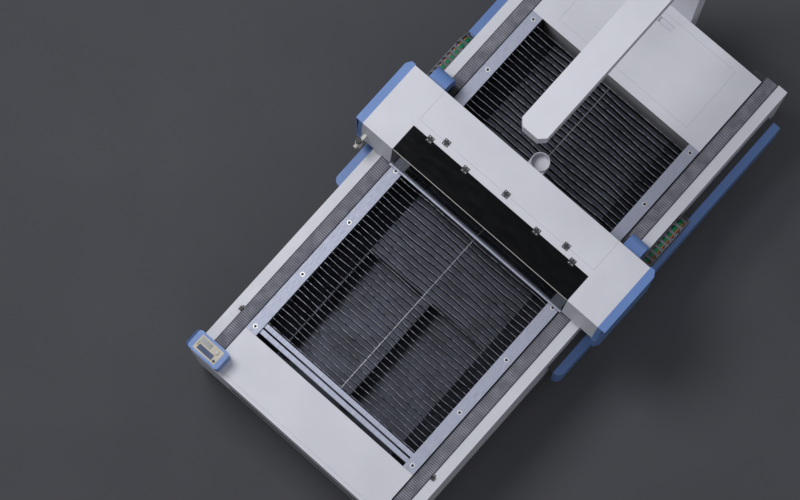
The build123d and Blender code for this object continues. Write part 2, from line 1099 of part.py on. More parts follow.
def window_slope():
    """How far the window's foot stands in front of its bend."""
    foot = gantry_base + window_lift
    return arm_slope * (gantry_top - foot) / (gantry_top - gantry_base)


def front_window():
    """Two smoked sheets that meet along the bend line."""
    x = arm_inner - window_gap
    t = window_thick
    top = gantry_top
    foot = gantry_base + window_lift
    front = arm_front - window_slope()
    roof = [(gantry_front - seam, top - t), (gantry_front - seam, top), (arm_front, top), (arm_front, top - t)]
    bend = arm_front - window_slope() * t / (top - foot)
    pane = [(bend, top - t), (bend + t, top - t), (front + t, foot), (front, foot)]
    return [prism_x(roof, -x, x), prism_x(pane, -x, x)]


def window_trim():
    """An aluminium angle along the window's foot, which is also its grip."""
    x = arm_inner - window_gap
    foot = gantry_base + window_lift
    y = arm_front - window_slope()
    return slab(-x, x, y - trim_size, y + window_thick, foot - trim_thick, foot)


def window_leaves():
    return [hinge_leaf(x, gantry_front, -1, False) for x in window_hinge_x]


# Laser tube and mirrors
def laser_tube():
    return rod_x(-laser_half, laser_half, laser_y, laser_z, laser_radius)


def laser_caps():
    """The two metal end heads of the glass tube."""
    return [
        rod_x(side * laser_half, side * (laser_half + 34), laser_y, laser_z, 26)
        for side in (-1, 1)
    ]


def tube_mounts():
    mounts = []
    z = tube_low + tube_tall
    for x in (-laser_mount_x, laser_mount_x):
        block = slab(x - 14, x + 14, laser_y - 56, laser_y + 56, z, laser_z)
        block -= rod_x(x - 15, x + 15, laser_y, laser_z, laser_radius)
        mounts.append(block)
    return mounts


def mirror_mounts():
    mounts = []
    for y in (laser_y, beam_line_y):
        low = tube_low + tube_tall if y == laser_y else riser_top + carriage_thick
        half = mirror_size / 2
        post = slab(mirror_x - 16, mirror_x + 16, y - 16, y + 16, low, laser_z - half)
        head = slab(mirror_x - half, mirror_x + half, y - half, y + half, laser_z - half, laser_z + half)
        head -= rod_x(mirror_x, mirror_x + half + 1, y, laser_z, 12)
        reach = -1 if y == laser_y else 1
        y0, y1 = sorted((y, y + reach * (half + 1)))
        head -= rod_y(y0, y1, mirror_x, laser_z, 12)
        mounts.append(post + head)
    return mounts


# Head, its guide and its belt
def x_rail():
    return slab(
        -x_rail_half, x_rail_half, tube_front - x_rail_deep, tube_front, x_rail_z, x_rail_z + x_rail_tall
    )


def x_belt():
    r = pulley_radius + running_gap
    outer = SlotCenterToCenter(2 * pulley_x, 2 * (r + belt_thick))
    inner = SlotCenterToCenter(2 * pulley_x, 2 * r)
    loop = extrude(outer - inner, amount=belt_width)
    return Pos(0, belt_y + belt_width / 2, belt_z) * Rot(90, 0, 0) * loop


def x_pulley(x):
    return rod_y(belt_y - belt_width / 2 - 1, belt_y + belt_width / 2 + 5, x, belt_z, pulley_radius)


def pulley_shafts():
    """Fixed pins on the beam that the two belt pulleys turn on."""
    y0 = belt_y + belt_width / 2 + 5.3
    return [rod_y(y0, tube_front, x, belt_z, 8) for x in (-pulley_x, pulley_x)]


def head_carriage():
    half = head_width / 2
    y1 = tube_front - running_gap
    y0 = y1 - head_plate - x_rail_deep + 6
    clear = pulley_radius + belt_thick + belt_clear
    plate = slab(-half, half, y0, y1, head_drop, belt_z - clear)
    return plate - slab(
        -half - 1,
        half + 1,
        tube_front - x_rail_deep - running_gap,
        tube_front + 1,
        x_rail_z - running_gap,
        x_rail_z + x_rail_tall + running_gap,
    )


def lift_block():
    y1 = tube_front - running_gap - head_plate - x_rail_deep + 6 - running_gap
    y0 = y1 - lift_plate
    plate = slab(-lift_half, lift_half, y0, y1, lift_low, lift_top)
    reach = lift_half - 6
    arm = slab(-reach, reach, beam_line_y + lens_tube_radius - 3, y1, lift_arm_low, lift_arm_top)
    return plate + arm


def laser_head():
    half = mirror_box / 2
    body = slab(-half, half, beam_line_y - half, beam_line_y + half, laser_z - half, laser_z + half)
    body -= rod_x(-half - 1, 0, beam_line_y, laser_z, head_bore)
    body += rod_z(nozzle_top, laser_z - half, 0, beam_line_y, lens_tube_radius)
    ring_top = focus_ring_z + focus_ring_tall
    body += rod_z(focus_ring_z, ring_top, 0, beam_line_y, lens_tube_radius + 4)
    return body - rod_z(nozzle_top - 1, laser_z, 0, beam_line_y, lens_bore)


def nozzle():
    cone = Pos(0, beam_line_y, nozzle_tip) * Cone(
        5,
        lens_tube_radius - 2,
        nozzle_top - nozzle_tip,
        align=(Align.CENTER, Align.CENTER, Align.MIN),
    )
    return cone - rod_z(nozzle_tip - 1, nozzle_top + 1, 0, beam_line_y, nozzle_bore)


# Exhaust mouth
def exhaust_duct():
    cup = rod_z(duct_low, duct_top, 0, duct_y, duct_radius)
    channel = slab(-duct_radius, duct_radius, gantry_rear, duct_y, duct_low, duct_channel_top)
    inner = rod_z(duct_low + duct_wall, duct_top + 1, 0, duct_y, duct_radius - duct_wall)
    way = slab(
        -duct_radius + duct_wall,
        duct_radius - duct_wall,
        gantry_rear - 1,
        duct_y,
        duct_low + duct_wall,
        duct_channel_top - duct_wall,
    )
    return (cup + channel) - inner - way


# Air regulator
def arm_face(z):
    """Where the arm's leaning front lies at a height."""
    return arm_front - arm_slope * (gantry_top - z) / (gantry_top - gantry_base)


def air_regulator():
    r = regulator_radius
    body = rod_z(regulator_mid, knob_low, regulator_x, regulator_y, r)
    bowl = Pos(regulator_x, regulator_y, regulator_low) * Cone(
        r * 0.55, r * 0.95, regulator_mid - regulator_low, align=(Align.CENTER, Align.CENTER, Align.MIN)
    )
    high = regulator_mid + bracket_tall
    bracket = prism_x(
        [
            (regulator_y, regulator_mid + 14),
            (arm_face(regulator_mid + 14) - running_gap, regulator_mid + 14),
            (arm_face(high) - running_gap, high),
            (regulator_y, high),
        ],
        regulator_x - 12,
        regulator_x + 12,
    )
    middle = (regulator_mid + knob_low) / 2
    gauge = rod_y(regulator_y - r - gauge_reach, regulator_y, regulator_x, middle, gauge_radius)
    return body + bowl + bracket + gauge


def regulator_knob():
    radius = regulator_radius - 3
    low = knob_low + running_gap
    return polygon_rod(regulator_x, regulator_y, low, regulator_top, radius, knob_sides)


# Cable chains
def chain_frames():
    """Where each link sits in Y and Z, and how far it is turned, from the moving end."""
    half = chain_height / 2
    step = 180 / chain_arc
    inner = chain_pitch / 2 / tan(radians(step / 2))
    radius = inner + half
    low = skirt_top + chain_rise + half
    high = low + 2 * radius
    bend = chain_start + chain_upper * chain_pitch
    frames = []
    for i in range(chain_upper):
        frames.append((chain_start + (i + 0.5) * chain_pitch, high, 0))
    for i in range(chain_arc):
        turn = (i + 0.5) * step
        angle = radians(90 - turn)
        frames.append((bend + radius * cos(angle), low + radius + radius * sin(angle), -turn))
    for i in range(chain_lower):
        frames.append((bend - (i + 0.5) * chain_pitch, low, 180))
    return frames


def chain_link():
    half = chain_height / 2
    plate = slab(0, chain_side, -chain_pitch / 2, chain_pitch / 2, -half, half)
    other = Pos(chain_width - chain_side, 0, 0) * plate
    bars = []
    for z in (-half, half - chain_cover):
        bars.append(
            slab(chain_side, chain_width - chain_side, -chain_bar / 2, chain_bar / 2, z, z + chain_cover)
        )
    return plate + other + bars


def cable_chain():
    link = chain_link()
    links = []
    for y, z, turn in chain_frames():
        links.append(Pos(chain_inner, y, z) * Rot(turn, 0, 0) * link)
    return links


# Control box
def round_outline(x0, x1, y0, y1, r):
    """A rectangle whose corners are turned by three flats each."""
    points = []
    for cx, cy, start in ((x1 - r, y1 - r, 0), (x0 + r, y1 - r, 90), (x0 + r, y0 + r, 180), (x1 - r, y0 + r, 270)):
        for turn in (0, 30, 60, 90):
            angle = radians(start + turn)
            points.append((cx + r * cos(angle), cy + r * sin(angle)))
    return make_face(Polyline(*points, close=True))


def control_box():
    foot = round_outline(box_left - box_flare, box_right, front_y + 4, box_rear, box_round)
    top = round_outline(box_left, box_right, front_y, box_rear, box_round)
    body = loft([Pos(0, 0, bed_top) * foot, Pos(0, 0, box_top) * top], ruled=True)
    m = panel_margin
    recess = slab(
        box_left + m, box_right - m, front_y + m / 2, box_rear - m / 2, box_top - panel_thick, box_top + 1
    )
    return body - recess


def panel_frame():
    m = panel_margin
    return box_left + m, box_right - m, front_y + m / 2, box_rear - m / 2


button_travel = 2
button_rise = 5
key_rows = 2


def button_places():
    """Start, stop, dial and knob: centre and radius of each."""
    x0, x1, y0, y1 = panel_frame()
    return {
        "start": (x0 + 14, y0 + 56, 5),
        "stop": (x0 + 14, y0 + 38, 5),
        "dial": (x1 - 44, y0 + 80, 17),
        "knob": (x1 - 20, y0 + 20, 9),
    }


def control_panel():
    x0, x1, y0, y1 = panel_frame()
    plate = slab(x0, x1, y0, y1, box_top - panel_thick, box_top)
    for x, y, r in button_places().values():
        plate -= rod_z(box_top - panel_thick - 1, box_top + 1, x, y, r + 0.4)
    return plate


def control_screen():
    x0, x1, y0, y1 = panel_frame()
    return slab(x0 + 12, x0 + 110, y0 + 64, y1 - 10, box_top, box_top + screen_thick)


def keypad():
    x0, x1, y0, y1 = panel_frame()
    sheet_pad = slab(x0 + 26, x1 - 40, y0 + 12, y0 + 52, box_top, box_top + 1)
    for row in range(key_rows):
        for i in range(6):
            x = x0 + 32 + i * 18
            y = y0 + 17 + row * 18
            sheet_pad += slab(x, x + 11, y, y + 11, box_top + 1, box_top + 2.5)
    return sheet_pad


def round_control(name, rise):
    x, y, r = button_places()[name]
    return rod_z(box_top - panel_thick + (button_travel + 0.5 if rise else 0.3), box_top + (rise or 12), x, y, r)


def button_wells():
    """Pockets under the face that the buttons sink into."""
    wells = []
    for x, y, r in button_places().values():
        wells.append(rod_z(box_top - panel_thick - 4, box_top - panel_thick, x, y, r + 0.4))
    return wells


# Small fittings on the strips
def limit_switches():
    y = bed_front + 78
    block = slab(beam_outer + 1, beam_outer + 24, y - 16, y + 16, strip_top, strip_top + 18)
    block += slab(beam_outer + 5, beam_outer + 15, y + 16, y + 30, strip_top, strip_top + 8)
    return block


os.makedirs("parts", exist_ok=True)

save("side_beams", both_sides(*side_beam()))
lower_frame = both_sides(*frame_legs(), *frame_rails(), *drawer_runners())
save("lower_frame", lower_frame + solids(*cross_members()))
save("levelling_feet", both_sides(*levelling_feet()))
save("clamp_bars", both_sides(clamp_bar()))
save("bar_screws", both_sides(*bar_screws()))
save("slats", solids(*slats()))
save("centre_rod", solids(centre_rod()))
save("front_cross_bars", solids(*front_cross_bars()))
save("waste_hopper", solids(hopper()))
save("waste_drawer_right", solids(waste_drawer()))
save("waste_drawer_left", left_side(waste_drawer()))
save("guide_rails", both_sides(guide_rail(), gear_rack()))

front_bellows = bellows(bellows_front, carriage_front - running_gap)
rear_bellows = bellows(carriage_rear + running_gap, bellows_rear)
save("bellows_front", both_sides(front_bellows))
save("bellows_rear", both_sides(rear_bellows))

save("front_panel", solids(front_panel()))
save("front_deck", solids(front_deck()))
save("side_covers", both_sides(side_cover()))
save("side_skirts", both_sides(side_skirt()))
save("chain_trays", both_sides(chain_tray()))
save("limit_switches", both_sides(limit_switches()))

save("rear_cabinet", solids(rear_cabinet()))
save("rear_lid", solids(rear_lid()))
save("cabinet_electrics", solids(power_supply(), *drive_units()))
save("rear_column", solids(column()))
save("overhead_boom", solids(boom()))
save("view_camera", solids(view_camera()))

save("carriages", both_sides(carriage(), chain_bracket_leg(), *guide_blocks()))
save("gantry_beam", solids(gantry_tube(), x_rail(), *pulley_shafts()))
save("gantry_cover", solids(gantry_cover()))
save("end_caps", both_sides(end_cap()))
save("drive_motors", both_sides(motor()))
save("motor_covers", both_sides(motor_cover()))
save("pinion_right", solids(pinion()))
save("pinion_left", left_side(pinion()))
save("hinge_leaves", solids(*fixed_leaves()))
save("beam_lid", solids(beam_lid()))
save("lid_leaves", solids(*lid_leaves()))
save("front_window", solids(*front_window()))
save("window_trim", solids(window_trim()))
save("window_leaves", solids(*window_leaves()))
save("laser_tube", solids(laser_tube(), *laser_caps()))
save("optics_mounts", solids(*tube_mounts(), *mirror_mounts()))
save("x_belt", solids(x_belt()))
save("belt_pulley_right", solids(x_pulley(pulley_x)))
save("belt_pulley_left", solids(x_pulley(-pulley_x)))
save("head_carriage", solids(head_carriage()))
save("laser_head", solids(lift_block() + laser_head()))
save("nozzle", solids(nozzle()))
save("exhaust_duct", solids(exhaust_duct()))
save("air_regulator", solids(air_regulator()))
save("regulator_knob", solids(regulator_knob()))
save("cable_chains", both_sides(*cable_chain()))

save("control_box", solids(control_box() - button_wells()))
save("control_panel", solids(control_panel()))
save("control_screen", solids(control_screen()))
save("keypad", solids(keypad()))
save("start_button", solids(round_control("start", button_rise)))
save("stop_button", solids(round_control("stop", button_rise)))
save("jog_dial", solids(round_control("dial", 0)))
save("mode_knob", solids(round_control("knob", 0)))
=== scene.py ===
import json
import math

import bmesh
import bpy
from mathutils import Matrix, Vector
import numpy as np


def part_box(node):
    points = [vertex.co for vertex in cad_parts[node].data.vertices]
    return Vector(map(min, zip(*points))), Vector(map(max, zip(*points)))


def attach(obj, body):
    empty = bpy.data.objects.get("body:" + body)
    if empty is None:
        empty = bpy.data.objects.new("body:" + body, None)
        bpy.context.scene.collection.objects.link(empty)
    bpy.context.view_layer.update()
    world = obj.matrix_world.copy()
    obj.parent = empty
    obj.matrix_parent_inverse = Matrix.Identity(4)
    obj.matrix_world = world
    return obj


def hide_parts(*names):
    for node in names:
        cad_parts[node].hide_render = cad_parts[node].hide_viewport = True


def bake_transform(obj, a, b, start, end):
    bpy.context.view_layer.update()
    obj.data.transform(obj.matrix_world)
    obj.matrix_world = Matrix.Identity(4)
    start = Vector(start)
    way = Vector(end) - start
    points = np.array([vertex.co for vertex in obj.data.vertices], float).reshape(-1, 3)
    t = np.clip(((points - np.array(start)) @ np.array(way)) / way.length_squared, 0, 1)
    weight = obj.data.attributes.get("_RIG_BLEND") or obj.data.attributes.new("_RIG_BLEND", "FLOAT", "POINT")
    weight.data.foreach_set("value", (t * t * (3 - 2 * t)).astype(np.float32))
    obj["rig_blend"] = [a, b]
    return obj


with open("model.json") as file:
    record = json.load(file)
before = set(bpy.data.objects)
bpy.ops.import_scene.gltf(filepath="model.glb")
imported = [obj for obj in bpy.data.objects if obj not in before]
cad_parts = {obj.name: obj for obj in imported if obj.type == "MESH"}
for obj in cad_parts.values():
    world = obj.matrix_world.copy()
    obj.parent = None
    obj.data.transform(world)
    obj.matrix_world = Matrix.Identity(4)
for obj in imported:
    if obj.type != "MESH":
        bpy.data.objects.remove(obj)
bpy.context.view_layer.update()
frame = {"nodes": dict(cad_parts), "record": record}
scene = bpy.context.scene
mm = 0.001
print("frame loaded")


def linear(hexText):
    # sRGB hex to linear colour with full alpha
    parts = [int(hexText[i:i + 2], 16) / 255 for i in (0, 2, 4)]
    parts = [c / 12.92 if c <= 0.04045 else ((c + 0.055) / 1.055) ** 2.4 for c in parts]
    return (*parts, 1.0)


def addNode(tree, kind, settings=None, links=None):
    # a setting is a property of the node if it has one of that name, else a socket's value
    # a link starts at an output, or at the first output of a node
    node = tree.nodes.new("ShaderNode" + kind)
    for name, value in (settings or {}).items():
        if isinstance(name, str) and hasattr(node, name):
            setattr(node, name, value)
        else:
            node.inputs[name].default_value = value
    for name, source in (links or {}).items():
        output = source.outputs[0] if isinstance(source, bpy.types.Node) else source
        tree.links.new(output, node.inputs[name])
    return node


def startMaterial(name):
    # an empty material, its node tree, and the place on the object in metres
    material = bpy.data.materials.new(name)
    material.use_nodes = True
    tree = material.node_tree
    tree.nodes.clear()
    place = addNode(tree, "TexCoord").outputs["Object"]
    return material, tree, place


def endMaterial(tree, settings, links):
    # every finish ends in one principled shader
    shader = addNode(tree, "BsdfPrincipled", settings, links)
    addNode(tree, "OutputMaterial", {}, {"Surface": shader})


def edgeShare(tree, radiusMm):
    # near 1 on a sharp edge, where the rounded normal turns away from the flat one, and 0 on a flat face
    rounded = addNode(tree, "Bevel", {"samples": 4, "Radius": radiusMm * mm})
    flat = addNode(tree, "NewGeometry").outputs["Normal"]
    along = addNode(tree, "VectorMath", {"operation": "DOT_PRODUCT"}, {0: rounded, 1: flat})
    return addNode(tree, "MapRange", {"From Min": 0.995, "From Max": 0.85}, {"Value": along.outputs["Value"]})


# Every noise and crystal pattern has a scale of 1000 over the width of one blotch in millimetres
# In a colour mix, sockets 6 and 7 are the two colours, and output 2 is the mixed one

# Paint, from one recipe: oven-cured powder on sheet steel
# fine orange peel about 3 mm across breaks up the gloss, and the edges are painted lighter as a painted highlight
# along them
paints = {
    "powderCoatWhite": {"colour": "CBCCD5", "edgeHighlight": "D9DAE0", "dull": "C5C6CF", "roughness": 0.46, "peel": 0.05},
    "powderCoatBlue": {"colour": "6283BD", "edgeHighlight": "7F9CCD", "dull": "5C7CB6", "roughness": 0.42, "peel": 0.05},
    "powderCoatGraphite": {"colour": "34363C", "edgeHighlight": "4A4C53", "dull": "2C2E33", "roughness": 0.55, "peel": 0.07},
    "powderCoatGreySheet": {"colour": "82858B", "edgeHighlight": "989BA0", "dull": "74777D", "roughness": 0.5, "peel": 0.06},
    "powderCoatBeigePlate": {"colour": "BDB6A6", "edgeHighlight": "CDC7B8", "dull": "AFA898", "roughness": 0.45, "peel": 0.04},
    "blackOxideSteel": {"colour": "2B2D33", "edgeHighlight": "5A5C62", "dull": "222429", "roughness": 0.5, "peel": 0.03},
}


def powderCoat(name):
    paint = paints[name]
    material, tree, place = startMaterial(name)
    cloud = addNode(tree, "TexNoise", {"Scale": 1000 / 420, "Detail": 3}, {"Vector": place})
    share = addNode(tree, "MapRange", {"From Min": 0.35, "From Max": 0.65}, {"Value": cloud})
    tones = {"data_type": "RGBA", 6: linear(paint["colour"]), 7: linear(paint["dull"])}
    powder = addNode(tree, "Mix", tones, {0: share}).outputs[2]
    # painted highlight: the colour turns lighter towards every edge
    edge = addNode(tree, "MapRange", {"To Max": 0.6}, {"Value": edgeShare(tree, 2.5)})
    tones = {"data_type": "RGBA", 7: linear(paint["edgeHighlight"])}
    colour = addNode(tree, "Mix", tones, {0: edge, 6: powder}).outputs[2]
    smudge = addNode(tree, "TexNoise", {"Scale": 1000 / 90, "Detail": 4}, {"Vector": place})
    span = {"From Min": 0.3, "From Max": 0.7, "To Min": paint["roughness"] - 0.05, "To Max": paint["roughness"] + 0.07}
    gloss = addNode(tree, "MapRange", span, {"Value": smudge})
    peel = addNode(tree, "TexNoise", {"Scale": 1000 / 3.2, "Detail": 1}, {"Vector": place})
    soft = addNode(tree, "Bevel", {"samples": 4, "Radius": 1.6 * mm})
    depth = {"Strength": 0.5, "Distance": paint["peel"] * mm}
    normal = addNode(tree, "Bump", depth, {"Height": peel, "Normal": soft})
    endMaterial(tree, {"IOR": 1.5}, {"Base Color": colour, "Roughness": gloss, "Normal": normal})
    return material


# Bare and plated metal: a direction for its grain, and how wide one stroke is in millimetres
metals = {
    "anodisedAluminium": {"colour": "A6AABA", "dark": "999DAE", "roughness": 0.58, "grain": (30, 1, 30), "stroke": 60},
    "groundSteel": {"colour": "A2A3A8", "dark": "85868C", "roughness": 0.3, "grain": (30, 1, 30), "stroke": 40},
    "zincPlatedSteel": {"colour": "E2E3E6", "dark": "C6C7CC", "roughness": 0.45, "grain": (1, 1, 1), "stroke": 6},
    "turnedBrass": {"colour": "C29A55", "dark": "A37E40", "roughness": 0.3, "grain": (1, 1, 40), "stroke": 20},
    "brushedAluminium": {"colour": "C2C4C9", "dark": "AAACB2", "roughness": 0.36, "grain": (1, 30, 30), "stroke": 40},
}


def bareMetal(name):
    # the stretched noise is the rubbed grain, drawn coarser than the real one so that it shows
    metal = metals[name]
    material, tree, place = startMaterial(name)
    along = addNode(tree, "VectorMath", {"operation": "MULTIPLY", 1: metal["grain"]}, {0: place})
    grain = addNode(tree, "TexNoise", {"Scale": 1000 / metal["stroke"], "Detail": 4}, {"Vector": along})
    share = addNode(tree, "MapRange", {"From Min": 0.3, "From Max": 0.7}, {"Value": grain})
    tones = {"data_type": "RGBA", 6: linear(metal["colour"]), 7: linear(metal["dark"])}
    colour = addNode(tree, "Mix", tones, {0: share}).outputs[2]
    span = {"To Min": metal["roughness"] - 0.06, "To Max": metal["roughness"] + 0.1}
    gloss = addNode(tree, "MapRange", span, {"Value": share})
    soft = addNode(tree, "Bevel", {"samples": 4, "Radius": 1 * mm})
    normal = addNode(tree, "Bump", {"Strength": 0.4, "Distance": 0.06 * mm}, {"Height": grain, "Normal": soft})
    endMaterial(tree, {"Metallic": 1.0}, {"Base Color": colour, "Roughness": gloss, "Normal": normal})
    return material


def galvanisedSteel():
    # zinc crystals about 18 mm across, each facing its own way, give a patchwork of greys, painted far darker than
    # bare zinc as painted shade under the slats
    material, tree, place = startMaterial("galvanisedSteel")
    crystal = addNode(tree, "TexVoronoi", {"Scale": 1000 / 18}, {"Vector": place}).outputs["Color"]
    grey = addNode(tree, "SeparateColor", {}, {0: crystal})
    # painted shade: both greys are much darker than bare zinc
    tones = {"data_type": "RGBA", 6: linear("3E4049"), 7: linear("4F5260")}
    shadedZinc = addNode(tree, "Mix", tones, {0: grey}).outputs[2]
    blotchNoise = addNode(tree, "TexNoise", {"Scale": 1000 / 160, "Detail": 4}, {"Vector": place})
    blotchy = addNode(tree, "MapRange", {"From Min": 0.42, "From Max": 0.7}, {"Value": blotchNoise})
    colour = addNode(tree, "Mix", {"data_type": "RGBA", 7: linear("363840")}, {0: blotchy, 6: shadedZinc}).outputs[2]
    gloss = addNode(tree, "MapRange", {"To Min": 0.36, "To Max": 0.56}, {"Value": grey})
    endMaterial(tree, {"Metallic": 0.75}, {"Base Color": colour, "Roughness": gloss})
    return material


def scorchedSlatSteel():
    # rolled steel gone black with smoke, with its top edge scraped bright by the sheets laid on it
    material, tree, place = startMaterial("scorchedSlatSteel")
    height = addNode(tree, "SeparateXYZ", {}, {0: place}).outputs["Z"]
    top = addNode(tree, "MapRange", {"From Min": 0.8605, "From Max": 0.8646}, {"Value": height})  # slats end at 0.865
    along = addNode(tree, "VectorMath", {"operation": "MULTIPLY", 1: (1, 6, 6)}, {0: place})
    scrape = addNode(tree, "TexNoise", {"Scale": 1000 / 28, "Detail": 3}, {"Vector": along})
    scraped = addNode(tree, "MapRange", {"From Min": 0.3, "From Max": 0.6}, {"Value": scrape})
    bright = addNode(tree, "Math", {"operation": "MULTIPLY"}, {0: top, 1: scraped})
    soot = addNode(tree, "TexNoise", {"Scale": 1000 / 55, "Detail": 5}, {"Vector": place})
    sooty = addNode(tree, "MapRange", {"From Min": 0.35, "From Max": 0.7}, {"Value": soot})
    tones = {"data_type": "RGBA", 6: linear("0A0B0D"), 7: linear("121316")}
    black = addNode(tree, "Mix", tones, {0: sooty}).outputs[2]
    colour = addNode(tree, "Mix", {"data_type": "RGBA", 7: linear("B9BCCB")}, {0: bright, 6: black}).outputs[2]
    gloss = addNode(tree, "MapRange", {"To Min": 0.72, "To Max": 0.4}, {"Value": bright})
    normal = addNode(tree, "Bump", {"Strength": 0.5, "Distance": 0.5 * mm}, {"Height": soot})
    endMaterial(tree, {"Metallic": 0.55}, {"Base Color": colour, "Roughness": gloss, "Normal": normal})
    return material


def foldedBellowsCloth():
    # coated polyester, woven from 1.6 mm cords, with the fold crests painted paler in blotches, a painted highlight on
    # the crests and painted shade in the valleys
    material, tree, place = startMaterial("foldedBellowsCloth")
    threads = []
    for axis in ("X", "Y"):
        # a wave turns 20 radians in a unit, so this scale draws the cords 10 mm wide, so that they show
        settings = {"wave_type": "BANDS", "bands_direction": axis, "Scale": 1000 / 1.6 / 20}
        threads.append(addNode(tree, "TexWave", settings, {"Vector": place}).outputs[1])
    weave = addNode(tree, "Math", {"operation": "MULTIPLY"}, {0: threads[0], 1: threads[1]})
    height = addNode(tree, "SeparateXYZ", {}, {0: place}).outputs["Z"]
    crest = addNode(tree, "MapRange", {"From Min": 0.8565, "From Max": 0.862}, {"Value": height})  # valley to crest
    blotchNoise = addNode(tree, "TexNoise", {"Scale": 1000 / 70, "Detail": 4}, {"Vector": place})
    blotchy = addNode(tree, "MapRange", {"From Min": 0.2, "From Max": 0.8}, {"Value": blotchNoise})
    # painted highlight on the crests, broken into blotches
    crestHighlight = addNode(tree, "Math", {"operation": "MULTIPLY"}, {0: crest, 1: blotchy})
    tones = {"data_type": "RGBA", 6: linear("5A5B65"), 7: linear("A8A9B5")}
    colour = addNode(tree, "Mix", tones, {0: crestHighlight}).outputs[2]
    normal = addNode(tree, "Bump", {"Strength": 0.3, "Distance": 0.15 * mm}, {"Height": weave})
    endMaterial(tree, {"Roughness": 0.78, "Sheen Weight": 0.15}, {"Base Color": colour, "Normal": normal})
    return material


# Plastics and rubbers: moulded grain about a millimetre across on all of them
plastics = {
    "mouldedNylon": {"colour": "54555B", "faded": "606168", "roughness": 0.55},
    "mouldedAbsBlack": {"colour": "17181A", "faded": "232427", "roughness": 0.48},
    "mouldedAbsGrey": {"colour": "C3C2BD", "faded": "B3B2AC", "roughness": 0.42},
    "siliconeKeyBlue": {"colour": "495877", "faded": "3D4B68", "roughness": 0.6},
    "mouldedAcetalGreen": {"colour": "2E9A4A", "faded": "278540", "roughness": 0.32},
    "mouldedAcetalRed": {"colour": "C23A31", "faded": "A8312A", "roughness": 0.32},
    "neopreneRubber": {"colour": "151516", "faded": "202022", "roughness": 0.75},
    "vinylSheathGreen": {"colour": "23A06E", "faded": "1C8A5E", "roughness": 0.45},
    "vinylSheathOrange": {"colour": "E08A4A", "faded": "C9763A", "roughness": 0.45},
    "vinylSheathGrey": {"colour": "5C5E64", "faded": "4B4D53", "roughness": 0.5},
}


def mouldedPlastic(name):
    plastic = plastics[name]
    material, tree, place = startMaterial(name)
    fade = addNode(tree, "TexNoise", {"Scale": 1000 / 60, "Detail": 3}, {"Vector": place})
    share = addNode(tree, "MapRange", {"From Min": 0.3, "From Max": 0.7}, {"Value": fade})
    tones = {"data_type": "RGBA", 6: linear(plastic["colour"]), 7: linear(plastic["faded"])}
    colour = addNode(tree, "Mix", tones, {0: share}).outputs[2]
    span = {"To Min": plastic["roughness"] - 0.04, "To Max": plastic["roughness"] + 0.06}
    gloss = addNode(tree, "MapRange", span, {"Value": share})
    grain = addNode(tree, "TexNoise", {"Scale": 1000 / 1.4, "Detail": 1}, {"Vector": place})
    soft = addNode(tree, "Bevel", {"samples": 4, "Radius": 0.8 * mm})
    normal = addNode(tree, "Bump", {"Strength": 0.4, "Distance": 0.05 * mm}, {"Height": grain, "Normal": soft})
    endMaterial(tree, {"IOR": 1.5}, {"Base Color": colour, "Roughness": gloss, "Normal": normal})
    return material


def smokedAcrylic():
    # cast sheet dyed nearly black: it mirrors softly, and lets a little of the beam show through
    material, tree, place = startMaterial("smokedAcrylic")
    along = addNode(tree, "VectorMath", {"operation": "MULTIPLY", 1: (1, 3, 1)}, {0: place})
    wipe = addNode(tree, "TexNoise", {"Scale": 1000 / 130, "Detail": 3}, {"Vector": along})
    wiped = addNode(tree, "MapRange", {"From Min": 0.3, "From Max": 0.75}, {"Value": wipe})
    tones = {"data_type": "RGBA", 6: linear("0A0B0D"), 7: linear("101114")}
    colour = addNode(tree, "Mix", tones, {0: wiped}).outputs[2]
    gloss = addNode(tree, "MapRange", {"To Min": 0.12, "To Max": 0.2}, {"Value": wiped})
    settings = {"IOR": 1.4, "Alpha": 0.93, "Specular IOR Level": 0.22}
    endMaterial(tree, settings, {"Base Color": colour, "Roughness": gloss})
    return material


def borosilicateGlass():
    # drawn glass tube with faint long ripples
    material, tree, place = startMaterial("borosilicateGlass")
    along = addNode(tree, "VectorMath", {"operation": "MULTIPLY", 1: (0.1, 1, 1)}, {0: place})
    ripple = addNode(tree, "TexNoise", {"Scale": 1000 / 40, "Detail": 2}, {"Vector": along})
    tones = {"data_type": "RGBA", 6: linear("C9DCE6"), 7: linear("B9CEDA")}
    colour = addNode(tree, "Mix", tones, {0: ripple}).outputs[2]
    normal = addNode(tree, "Bump", {"Strength": 0.3, "Distance": 0.2 * mm}, {"Height": ripple})
    settings = {"IOR": 1.47, "Roughness": 0.05, "Alpha": 0.45}
    endMaterial(tree, settings, {"Base Color": colour, "Normal": normal})
    return material


def displayPlastic():
    # grey screen sheet with faint rows of picture cells 2 mm apart, drawn 13 mm apart so that they show
    material, tree, place = startMaterial("displayPlastic")
    settings = {"wave_type": "BANDS", "bands_direction": "Y", "Scale": 1000 / 2 / 20}
    rows = addNode(tree, "TexWave", settings, {"Vector": place}).outputs[1]
    tones = {"data_type": "RGBA", 6: linear("5B5D5F"), 7: linear("666869")}
    colour = addNode(tree, "Mix", tones, {0: rows}).outputs[2]
    endMaterial(tree, {"Roughness": 0.18, "IOR": 1.5}, {"Base Color": colour})
    return material


made = {name: powderCoat(name) for name in paints}
made.update({name: bareMetal(name) for name in metals})
made.update({name: mouldedPlastic(name) for name in plastics})
others = (galvanisedSteel, scorchedSlatSteel, foldedBellowsCloth, smokedAcrylic, borosilicateGlass, displayPlastic)
made.update({finish.__name__: finish() for finish in others})
print("materials", len(made))

